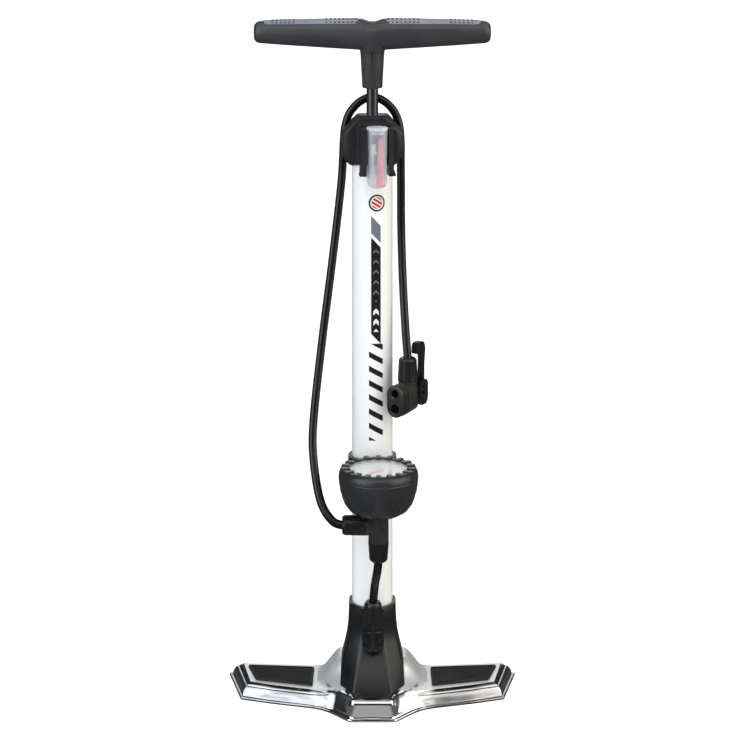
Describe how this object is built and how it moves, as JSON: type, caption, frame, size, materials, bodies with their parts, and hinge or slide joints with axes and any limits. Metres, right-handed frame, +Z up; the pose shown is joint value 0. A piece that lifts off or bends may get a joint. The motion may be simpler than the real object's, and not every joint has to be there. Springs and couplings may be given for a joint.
{
  "type": "floor bike pump",
  "caption": "Upright floor pump for bicycle tyres: T handle and rod in a steel barrel, pressed foot plate, front pressure gauge, hose to a twin valve head and a tool vial.",
  "frame": {"origin": "on the barrel axis at floor level, at the underside of the collar's hub", "axes": "+Z up along the barrel, -Y towards the user side with the gauge and nose, +X to the user's right"},
  "size_m": [0.274, 0.1393, 0.633],
  "materials": {
    "chrome_plate": "polished plated pressed steel",
    "rubber": "matte",
    "black_plastic": "fine moulded texture",
    "hose_rubber": "smooth, slightly glossy",
    "steel": "polished steel",
    "white_paint": "gloss white powder coat with a grey and black stripe",
    "brass": "machined",
    "dial_white": "printed scale",
    "needle_red": "satin",
    "clear_lens": "clear",
    "clear_vial": "translucent moulded plastic",
    "natural_plastic": "natural acetal",
    "handle_plastic": "charcoal, fine texture",
    "grip_rubber": "grey-blue soft grip",
    "red_plastic": "moulded"
  },
  "bodies": {
    "stand": {"base_plate": "chrome_plate", "left_foot_pad": "rubber", "right_foot_pad": "rubber", "barrel_seal": "rubber", "presta_seal": "rubber", "schrader_seal": "rubber", "base_collar": "black_plastic", "lower_hose_nut": "black_plastic", "upper_hose_nut": "black_plastic", "gauge_clip": "black_plastic", "gauge_housing": "black_plastic", "gauge_bezel": "black_plastic", "outlet_nut": "black_plastic", "top_cap": "black_plastic", "vial_holder": "black_plastic", "chuck_nut": "black_plastic", "chuck_body": "black_plastic", "supply_hose": "hose_rubber", "main_hose": "hose_rubber", "base_screws": "steel", "check_spring": "steel", "chuck_pin": "steel", "barrel": "white_paint", "valve_seat": "brass", "bourdon_tube": "brass", "movement_frame": "brass", "hose_barbs": "brass", "gauge_dial": "dial_white", "gauge_lens": "clear_lens", "rod_bushing": "natural_plastic"},
    "piston": {"piston_seal": "rubber"},
    "handle": {"piston_rod": "steel", "piston_head": "natural_plastic", "piston_washer": "steel", "piston_nut": "steel", "handle_body": "handle_plastic", "left_grip": "grip_rubber", "right_grip": "grip_rubber"},
    "needle": {"gauge_needle": "needle_red", "needle_pinion": "brass"},
    "sector": {"sector_gear": "brass"},
    "valve_ball": {"check_ball": "steel"},
    "lever": {"chuck_lever": "black_plastic"},
    "plunger": {"chuck_plunger": "natural_plastic"},
    "vial": {"vial_body": "clear_vial", "vial_lid": "clear_vial", "ball_needle": "steel", "cone_adapter": "red_plastic"}
  },
  "joints": [
    {"name": "pump_stroke", "type": "slide", "parent": "stand", "child": "piston", "axis": [0, 0, 1], "range_m": [0, 0.41]},
    {"name": "handle_turn", "type": "hinge", "parent": "piston", "child": "handle", "pos_m": [0, 0, 0.08], "axis": [0, 0, 1], "continuous": true},
    {"name": "needle_sweep", "type": "hinge", "parent": "stand", "child": "needle", "pos_m": [0.0055, -0.057, 0.2262], "axis": [0, 0, -1], "range_deg": [0, 270]},
    {"name": "sector_swing", "type": "hinge", "parent": "stand", "child": "sector", "pos_m": [0.0055, -0.0795, 0.215], "axis": [0, 0, -1], "range_deg": [-33.75, 0]},
    {"name": "check_valve", "type": "slide", "parent": "stand", "child": "valve_ball", "axis": [0, 0, -1], "range_m": [0, 0.002], "stiffness_N_per_m": 60, "deforming": ["check_spring"]},
    {"name": "lever_flip", "type": "hinge", "parent": "stand", "child": "lever", "pos_m": [0.04085, -0.00551, 0.2793], "axis": [-0.8192, 0.5736, 0], "range_deg": [0, 95]},
    {"name": "plunger_push", "type": "slide", "parent": "stand", "child": "plunger", "axis": [-0.5736, -0.8192, 0], "range_m": [0, 0.0025]},
    {"name": "vial_slide", "type": "slide", "parent": "stand", "child": "vial", "axis": [0.1219, -0.9925, 0], "range_m": [0, 0.06]}
  ],
  "couplings": [
    {"joint": "sector_swing", "follows": "needle_sweep", "ratio": -0.125},
    {"joint": "plunger_push", "follows": "lever_flip", "m_per_rad": 0.0015}
  ]
}
